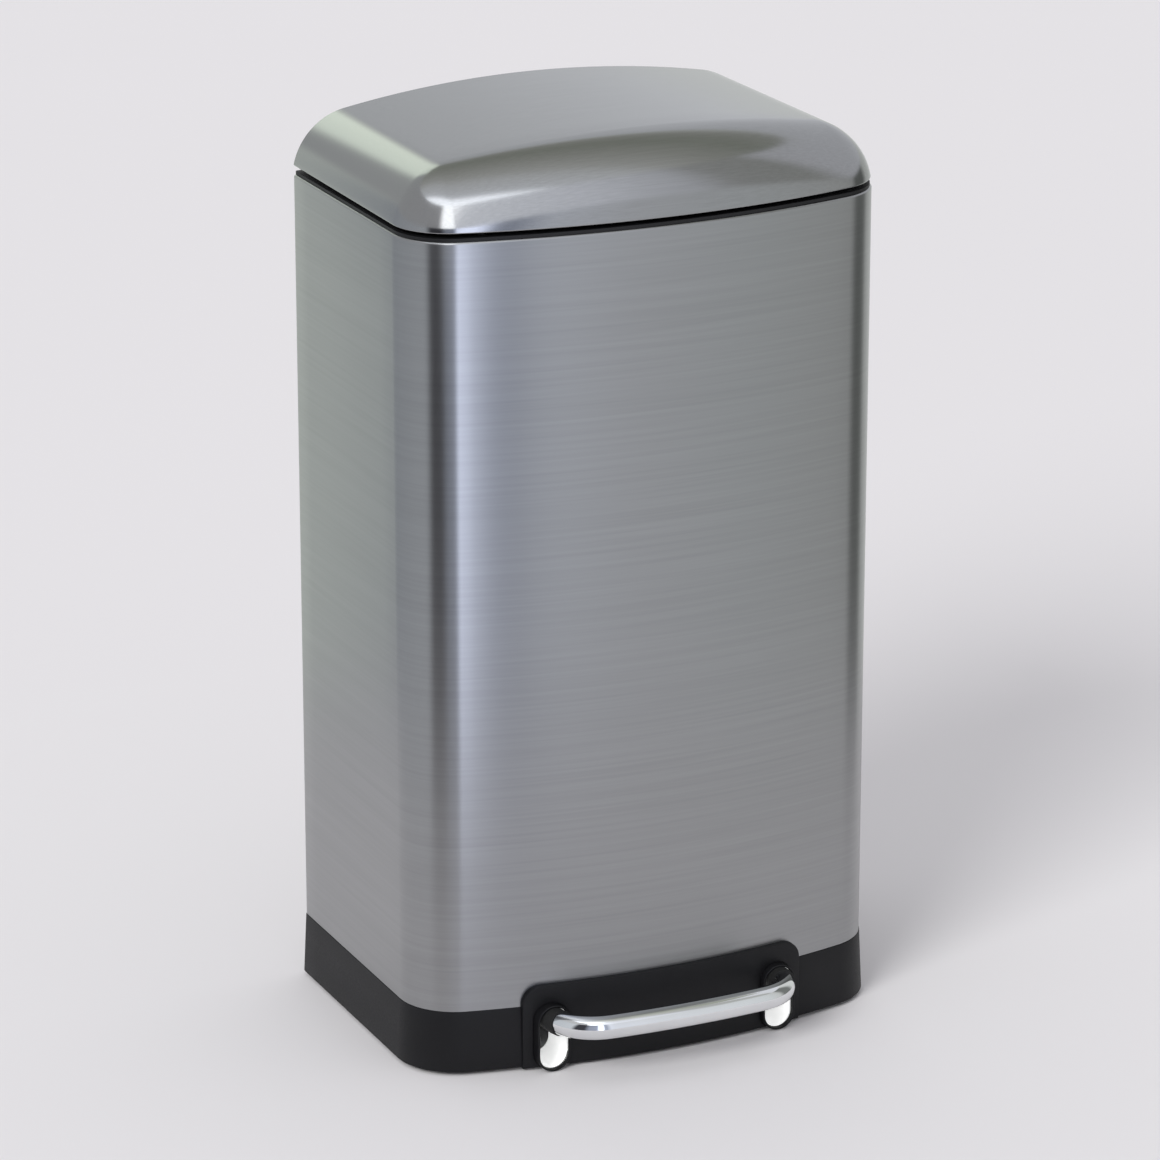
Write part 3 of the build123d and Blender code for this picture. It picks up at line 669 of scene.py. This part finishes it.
pedal = {
    "radius": 0.0079,
    "bend": 0.030,
    "bendSteps": 20,
    "bow": 0.560,
    "bowSteps": 30,
    "slope": radians(3.914),
    "tail": 0.014,
    "sleeve": 0.0086,
    "bore": 0.00798,
    "sleeveRound": 0.0002,
    "sleeveBend": radians(16),
    "sleeveBendSteps": 6,
    "sleeveStart": -0.068,
}
axleMid = (axleLow + axleHigh) / 2
armX = barHigh.x - pedal["radius"]
barReach = (axleMid.y - barLow.y - pedal["radius"]) / cos(pedal["slope"])
bowMid = -barReach + pedal["bow"]
bendX = armX - pedal["bend"]
bendY = bowMid - sqrt((pedal["bow"] - pedal["bend"]) ** 2 - bendX**2)
bowSwing = asin(bendX / (pedal["bow"] - pedal["bend"]))


def barCircle(bm, x, y, radius, segments=40):
    made = bmesh.ops.create_circle(bm, cap_ends=False, radius=radius, segments=segments)["verts"]
    bmesh.ops.rotate(bm, verts=made, cent=(0, 0, 0), matrix=Matrix.Rotation(pi / 2, 3, "X"))
    bmesh.ops.translate(bm, verts=made, vec=(x, y, 0))
    return list({e for v in made for e in v.link_edges})


def runOn(bm, edges, vec):
    made = bmesh.ops.extrude_edge_only(bm, edges=edges)["geom"]
    verts = [g for g in made if isinstance(g, bmesh.types.BMVert)]
    bmesh.ops.translate(bm, verts=verts, vec=vec)
    return [g for g in made if isinstance(g, bmesh.types.BMEdge) and all(v in verts for v in g.verts)]


def bendOn(bm, edges, cx, cy, angle, steps):
    made = bmesh.ops.spin(
        bm, geom=edges, cent=(cx, cy, 0), axis=(0, 0, 1), dvec=(0, 0, 0), angle=angle, steps=steps,
    )
    return [g for g in made["geom_last"] if isinstance(g, bmesh.types.BMEdge)]


def toPedal(bm):
    bmesh.ops.rotate(bm, verts=bm.verts, cent=(0, 0, 0), matrix=Matrix.Rotation(-pedal["slope"], 3, "X"))
    bmesh.ops.translate(bm, verts=bm.verts, vec=(0, axleMid.y, axleMid.z))


def makeBar():
    bm = bmesh.new()
    start = barCircle(bm, -armX, pedal["tail"], pedal["radius"])
    bmesh.ops.contextual_create(bm, geom=start)
    ring = runOn(bm, start, (0, bendY - pedal["tail"], 0))
    ring = bendOn(bm, ring, -bendX, bendY, pi / 2 - bowSwing, pedal["bendSteps"])
    ring = bendOn(bm, ring, 0, bowMid, 2 * bowSwing, pedal["bowSteps"])
    ring = bendOn(bm, ring, bendX, bendY, pi / 2 - bowSwing, pedal["bendSteps"])
    ring = runOn(bm, ring, (0, pedal["tail"] - bendY, 0))
    bmesh.ops.contextual_create(bm, geom=ring)
    toPedal(bm)
    return newPiece("footBarChrome", bm, "pedal", "chrome", chrome, "pedal_bar", smooth=50)


def makeSleeve(side, name):
    bm = bmesh.new()
    outer, bore, r = pedal["sleeve"], pedal["bore"], pedal["sleeveRound"]
    start, bend, steps = pedal["sleeveStart"], pedal["sleeveBend"], pedal["sleeveBendSteps"]
    tail = [(bore, 0), (outer - r, 0), (outer, -r)]
    rings = [barCircle(bm, -armX, start + back, radius) for radius, back in tail]
    bridge(bm, rings)
    ring = runOn(bm, rings[-1], (0, bendY - start + r, 0))
    ring = bendOn(bm, ring, -bendX, bendY, bend, steps)
    nose = barCircle(bm, -armX, bendY, bore)
    verts = list({v for e in nose for v in e.verts})
    bmesh.ops.rotate(bm, verts=verts, cent=(-bendX, bendY, 0), matrix=Matrix.Rotation(bend, 3, "Z"))
    bmesh.ops.bridge_loops(bm, edges=ring + nose)
    inner = bendOn(bm, nose, -bendX, bendY, -bend, steps)
    runOn(bm, inner, (0, start - bendY, 0))
    if side > 0:
        bmesh.ops.scale(bm, verts=bm.verts, vec=(-1, 1, 1))
    toPedal(bm)
    return newPiece(name + "_tube", bm, "pedal", "black_rubber", rubber, name, smooth=50)


makeBar()
makeSleeve(-1, "pedal_sleeve_left")
makeSleeve(1, "pedal_sleeve_right")
print("foot bar made")

skirt = {
    "top": -0.0004,
    "flare": tan(radians(2.7)),
    "wall": 0.003,
    "round": 0.0008,
    "upstand": (0.0011, 0.0036),
    "upstandHigh": 0.062,
    "upstandLow": 0.0412,
    "seatGap": 0.00005,
    "sharp": 35,
}


def makeSkirt():
    bm = bmesh.new()
    top, low, r = bodyLow.z, skirtLow.z, skirt["round"]
    drop = top - low
    lip = skirt["top"] + r
    foot = skirt["top"] - skirt["flare"] * drop + r
    near, far = skirt["upstand"]
    quarter = [pi / 2 * i / 4 for i in range(5)]
    profile = [(near, skirt["upstandHigh"]), (near, top + skirt["seatGap"]), (lip, top)]
    profile += [(lip - r * sin(a), top - r + r * cos(a)) for a in quarter[1:]]
    profile += [(skirt["top"] - skirt["flare"] * drop * share, top - drop * share) for share in (0.35, 0.7)]
    profile += [(foot - r * cos(a), low + r - r * sin(a)) for a in quarter]
    profile += [(skirt["wall"], low), (skirt["wall"], skirt["upstandLow"])]
    profile += [(far, skirt["upstandLow"]), (far, skirt["upstandHigh"])]
    ringBody(bm, profile)
    piece = newPiece(
        "baseSkirtMoulded", bm, "bin", "black_plastic", blackPlastic, "base_plinth",
        smooth=skirt["sharp"], outwards=False,
    )
    cutAway(piece, slotCutters(-0.13, -0.06))
    piece.data.set_sharp_from_angle(angle=radians(skirt["sharp"]))
    return piece


makeSkirt()
print("base skirt made")

# widths of the eased edges on two moulded parts, made from merged copies of the CAD meshes
eased = {"hinge_cover": 0.0008, "hinge_housing": 0.0006}


def easeEdges(name, width):
    bm = bmesh.new()
    bm.from_mesh(nodes[name].data)
    bmesh.ops.remove_doubles(bm, verts=bm.verts, dist=merge)
    bmesh.ops.dissolve_limit(bm, angle_limit=radians(1), verts=bm.verts, edges=bm.edges)
    piece = newPiece(name + "_eased", bm, "bin", "black_plastic", blackPlastic, name, smooth=40)
    change = piece.modifiers.new("eased", "BEVEL")
    change.width = width
    change.segments = 2
    change.limit_method = "ANGLE"
    change.angle_limit = radians(40)
    return piece


for name, width in eased.items():
    easeEdges(name, width)
print("moulded edges eased")

bucketLow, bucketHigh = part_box("inner_bucket")
bucket = {
    "inset": 0.016,
    "back": 0.0215,
    "backCorner": 0.016,
    "wall": 0.002,
    "taper": tan(radians(1)),
    "rim": 0.003,
    "rimGap": 0.0002,
    "lip": 0.009,
    "curl": 0.0012,
    "floorRound": 0.006,
    "rows": 6,
    # the hand hold on each side: half its length, its height, and the middle of it
    "holdHalf": 0.0475,
    "holdHigh": 0.026,
    "holdY": 0.0053,
    "holdZ": 0.522,
    "holdRound": 0.0125,
    "sharp": 35,
}


def makeBucket():
    bm = bmesh.new()
    low, high, wall, rows = bucketLow.z, bucketHigh.z, bucket["wall"], bucket["rows"]
    levels = [low + (high - low) * i / rows for i in range(1, rows)]
    falling = [high - (high - low) * i / rows for i in range(1, rows)]
    sixths = [pi / 2 * i / 6 for i in range(7)]
    quarters = [pi / 2 * i / 4 for i in range(5)]

    def lean(z):
        return bucket["taper"] * (high - z)

    r, curl = bucket["floorRound"], bucket["curl"]
    lipOut = -bucket["rim"]
    underRim = high - wall - bucket["rimGap"]
    outer = [(lean(low) + r - r * sin(a), low + r - r * cos(a)) for a in sixths]
    outer += [(lean(z), z) for z in levels]
    outer += [(0.0, underRim), (lipOut + wall, underRim)]
    outer += [(lipOut + wall, high - bucket["lip"]), (lipOut, high - bucket["lip"])]
    outer += [(lipOut + curl - curl * cos(a), high - curl + curl * sin(a)) for a in quarters]
    inner = [(wall - curl + curl * sin(a), high - curl + curl * cos(a)) for a in quarters]
    inner += [(lean(z) + wall, z) for z in falling]
    q = r - wall * 0.5
    inner += [(lean(low) + wall + q - q * cos(a), low + wall + q - q * sin(a)) for a in sixths]
    base, rear, corner = bucket["inset"], bucket["back"], bucket["backCorner"]
    rings = [(base + inset, z, True, rear + inset, corner - inset) for inset, z in outer + inner]
    wallAround(bm, outline, rings, caps=True)
    piece = newPiece(
        "innerBucketMoulded", bm, "bucket", "grey_plastic", bucketPlastic, "inner_bucket",
        smooth=bucket["sharp"], outwards=False,
    )
    cut = bmesh.new()
    y, z = bucket["holdY"], bucket["holdZ"]
    half, tall = bucket["holdHalf"], bucket["holdHigh"] / 2
    solidBox(cut, -0.2, 0.2, y - half, y + half, z - tall, z + tall)
    upright = [e for e in cut.edges if abs(e.verts[0].co.x - e.verts[1].co.x) > 0.3]
    bmesh.ops.bevel(
        cut, geom=upright, offset=bucket["holdRound"], segments=8, profile=0.5, affect="EDGES", material=-1,
    )
    cutAway(piece, [cutterFrom(cut)])
    piece.data.set_sharp_from_angle(angle=radians(bucket["sharp"]))
    return piece


makeBucket()
print("inner bucket made")

studio = {
    "floor": (0.80, 0.79, 0.80),
    "floorLight": (0.808, 0.7979, 0.808),
    "floorRadius": 14,
    "world": (0.975, 0.965, 1.0),
    "worldStrength": 0.68,
    "azimuth": radians(-24.8),
    "elevation": radians(18.6),
    "distance": 3.6,
    "lens": 168.4,
    "aim": (-0.0121, 0.0087, 0.2970),
}
bm = bmesh.new()
bmesh.ops.create_circle(bm, cap_ends=True, radius=studio["floorRadius"], segments=96)
floorMesh = bpy.data.meshes.new("floor")
bm.to_mesh(floorMesh)
bm.free()
floor = bpy.data.objects.new("floor", floorMesh)
bpy.context.scene.collection.objects.link(floor)
floorMaterial, n, links, shader = newMaterial("paleFloor")
cloud = streaks(n, links, (0.7, 0.7, 0.7), 2.0)
floorTint = tint(n, links, cloud.outputs["Fac"], studio["floor"], studio["floorLight"])
links.new(floorTint, shader.inputs["Base Color"])
shader.inputs["Roughness"].default_value = 0.75
shader.inputs["Specular IOR Level"].default_value = 0.15
floorMesh.materials.append(floorMaterial)

world = bpy.data.worlds.new("studioWorld")
world.use_nodes = True
background = world.node_tree.nodes["Background"]
background.inputs["Color"].default_value = (*studio["world"], 1)
background.inputs["Strength"].default_value = studio["worldStrength"]
bpy.context.scene.world = world

sun = {
    "from": (-0.80, -0.55, 0.66),
    "strength": 1.75,
    "spread": radians(26),
    "tint": (1, 0.995, 0.985),
}
data = bpy.data.lights.new("softKey", "SUN")
data.energy = sun["strength"]
data.angle = sun["spread"]
data.color = sun["tint"]
lamp = bpy.data.objects.new("softKey", data)
lamp.rotation_euler = (-Vector(sun["from"])).to_track_quat("-Z", "Y").to_euler()
lamp.visible_glossy = False
bpy.context.scene.collection.objects.link(lamp)

# a drum round the bin that only reflections see: brightness by direction
drum = {
    "radius": 0.75,
    "low": -0.02,
    "high": 1.30,
    "change": (0.665, 0.715),
    "strength": 3.0,
    # degrees round from the front, towards the left, with the glow seen there
    "lowGlow": [
        (-180, (0.80, 0.82, 0.82)), (-97, (0.70, 0.72, 0.70)), (-86, (0.20, 0.21, 0.20)),
        (-68, (0.20, 0.21, 0.20)), (-58, (0.62, 0.63, 0.62)), (-38, (0.70, 0.73, 0.74)),
        (-16, (0.79, 0.81, 0.85)), (0, (0.90, 0.94, 1.03)), (5, (0.62, 0.66, 0.77)),
        (7, (0.45, 0.49, 0.60)), (11, (0.45, 0.49, 0.60)), (14, (2.2, 2.35, 2.85)),
        (19, (2.2, 2.35, 2.85)), (24, (0.42, 0.46, 0.58)), (37, (0.36, 0.39, 0.47)),
        (45, (0.06, 0.06, 0.07)), (60, (0.06, 0.06, 0.07)), (68, (0.66, 0.69, 0.73)),
        (120, (0.56, 0.59, 0.63)), (140.5, (0.47, 0.50, 0.54)), (147, (0.80, 0.85, 0.80)),
        (180, (0.86, 0.91, 0.86)),
    ],
    "highGlow": [
        (-180, (0.98, 1.04, 0.96)), (-177, (0.68, 0.70, 0.72)), (-145, (0.80, 0.82, 0.86)),
        (-62, (0.75, 0.76, 0.80)), (-55, (0.46, 0.47, 0.45)), (-37, (0.50, 0.51, 0.50)),
        (-28, (0.80, 0.82, 0.87)), (-5, (1.10, 1.13, 1.22)), (21, (1.30, 1.34, 1.43)),
        (25, (2.9, 2.95, 3.0)), (41, (2.9, 2.95, 3.0)), (48, (0.6, 0.6, 0.62)),
        (120, (0.58, 0.59, 0.60)), (156, (0.58, 0.60, 0.60)), (161, (1.40, 1.53, 1.35)),
        (177, (1.45, 1.58, 1.38)), (180, (0.98, 1.04, 0.96)),
    ],
}


def glowRamp(treeNodes, links, source, stops):
    ramp = addNode(treeNodes, "ShaderNodeValToRGB")
    ends = ramp.color_ramp.elements
    for end, (degree, colour) in ((ends[0], stops[0]), (ends[1], stops[-1])):
        end.position = (degree + 180) / 360
        end.color = (*[c / drum["strength"] for c in colour], 1)
    for degree, colour in stops[1:-1]:
        stop = ramp.color_ramp.elements.new((degree + 180) / 360)
        stop.color = (*[c / drum["strength"] for c in colour], 1)
    links.new(source, ramp.inputs["Fac"])
    return ramp.outputs["Color"]


def newGlow(name):
    material = bpy.data.materials.new(name)
    material.use_nodes = True
    n, links = material.node_tree.nodes, material.node_tree.links
    n.clear()
    glow = addNode(n, "ShaderNodeEmission")
    glow.inputs["Strength"].default_value = drum["strength"]
    out = addNode(n, "ShaderNodeOutputMaterial")
    links.new(glow.outputs["Emission"], out.inputs["Surface"])
    place = addNode(n, "ShaderNodeTexCoord")
    return material, n, links, place.outputs["Object"], glow.inputs["Color"]


def hangGlow(name, bm, material):
    # a piece of the studio that only reflections see
    mesh = bpy.data.meshes.new(name)
    bm.to_mesh(mesh)
    bm.free()
    mesh.materials.append(material)
    piece = bpy.data.objects.new(name, mesh)
    bpy.context.scene.collection.objects.link(piece)
    piece.visible_camera = False
    piece.visible_diffuse = False
    piece.visible_shadow = False
    piece.visible_transmission = False


def turned(n, links, source):
    less = addNode(n, "ShaderNodeMath", operation="MULTIPLY")
    less.inputs[1].default_value = -1
    links.new(source, less.inputs[0])
    return less.outputs[0]


def shareOf(n, links, source, low, high):
    share = addNode(n, "ShaderNodeMapRange")
    share.inputs["From Min"].default_value = low
    share.inputs["From Max"].default_value = high
    links.new(source, share.inputs["Value"])
    return share.outputs["Result"]


def makeDrum():
    bm = bmesh.new()
    ring = bmesh.ops.create_circle(bm, cap_ends=False, radius=drum["radius"], segments=128)["verts"]
    edges = list({e for v in ring for e in v.link_edges})
    bmesh.ops.translate(bm, verts=ring, vec=(0, 0, drum["low"]))
    runOn(bm, edges, (0, 0, drum["high"] - drum["low"]))
    material, n, links, place, colour = newGlow("drumGlow")
    split = addNode(n, "ShaderNodeSeparateXYZ")
    links.new(place, split.inputs["Vector"])
    angle = addNode(n, "ShaderNodeMath", operation="ARCTAN2")
    links.new(turned(n, links, split.outputs["X"]), angle.inputs[0])
    links.new(turned(n, links, split.outputs["Y"]), angle.inputs[1])
    share = shareOf(n, links, angle.outputs[0], -pi, pi)
    blend = addNode(n, "ShaderNodeMix", data_type="RGBA")
    links.new(shareOf(n, links, split.outputs["Z"], *drum["change"]), blend.inputs["Factor"])
    links.new(glowRamp(n, links, share, drum["lowGlow"]), blend.inputs["A"])
    links.new(glowRamp(n, links, share, drum["highGlow"]), blend.inputs["B"])
    links.new(blend.outputs["Result"], colour)
    hangGlow("reflectionDrum", bm, material)


makeDrum()

# the disc over the drum: brightness along one direction, by distance from the middle
cap = {
    "across": (0.72, 0.69),
    "glow": [
        (-0.75, (2.8, 2.9, 3.0)), (-0.57, (2.6, 2.7, 2.85)), (-0.47, (1.0, 1.03, 1.08)),
        (-0.22, (0.85, 0.87, 0.88)), (-0.10, (0.66, 0.67, 0.64)), (0.10, (0.50, 0.51, 0.47)),
        (0.35, (0.37, 0.39, 0.34)), (0.60, (0.45, 0.46, 0.42)), (0.75, (0.74, 0.76, 0.74)),
    ],
}


def makeCap():
    bm = bmesh.new()
    bmesh.ops.create_circle(bm, cap_ends=True, radius=drum["radius"], segments=96)
    bmesh.ops.translate(bm, verts=bm.verts, vec=(0, 0, drum["high"]))
    material, n, links, place, colour = newGlow("capGlow")
    along = addNode(n, "ShaderNodeVectorMath", operation="DOT_PRODUCT")
    along.inputs[1].default_value = (*cap["across"], 0)
    links.new(place, along.inputs[0])
    reach = drum["radius"]
    share = shareOf(n, links, along.outputs["Value"], -reach, reach)
    stops = [(180 * g / reach, glow) for g, glow in cap["glow"]]
    links.new(glowRamp(n, links, share, stops), colour)
    hangGlow("reflectionCap", bm, material)


makeCap()

camera = bpy.data.objects.new("camera", bpy.data.cameras.new("camera"))
bpy.context.scene.collection.objects.link(camera)
aim = Vector(studio["aim"])
a, e = studio["azimuth"], studio["elevation"]
camera.location = aim + studio["distance"] * Vector((sin(a) * cos(e), -cos(a) * cos(e), sin(e)))
camera.rotation_euler = (aim - camera.location).to_track_quat("-Z", "Y").to_euler()
camera.data.lens = studio["lens"]
camera.data.sensor_width = 36
camera.data.clip_end = 100
bpy.context.scene.camera = camera
bpy.context.scene.view_settings.view_transform = "Standard"
print("stage made")
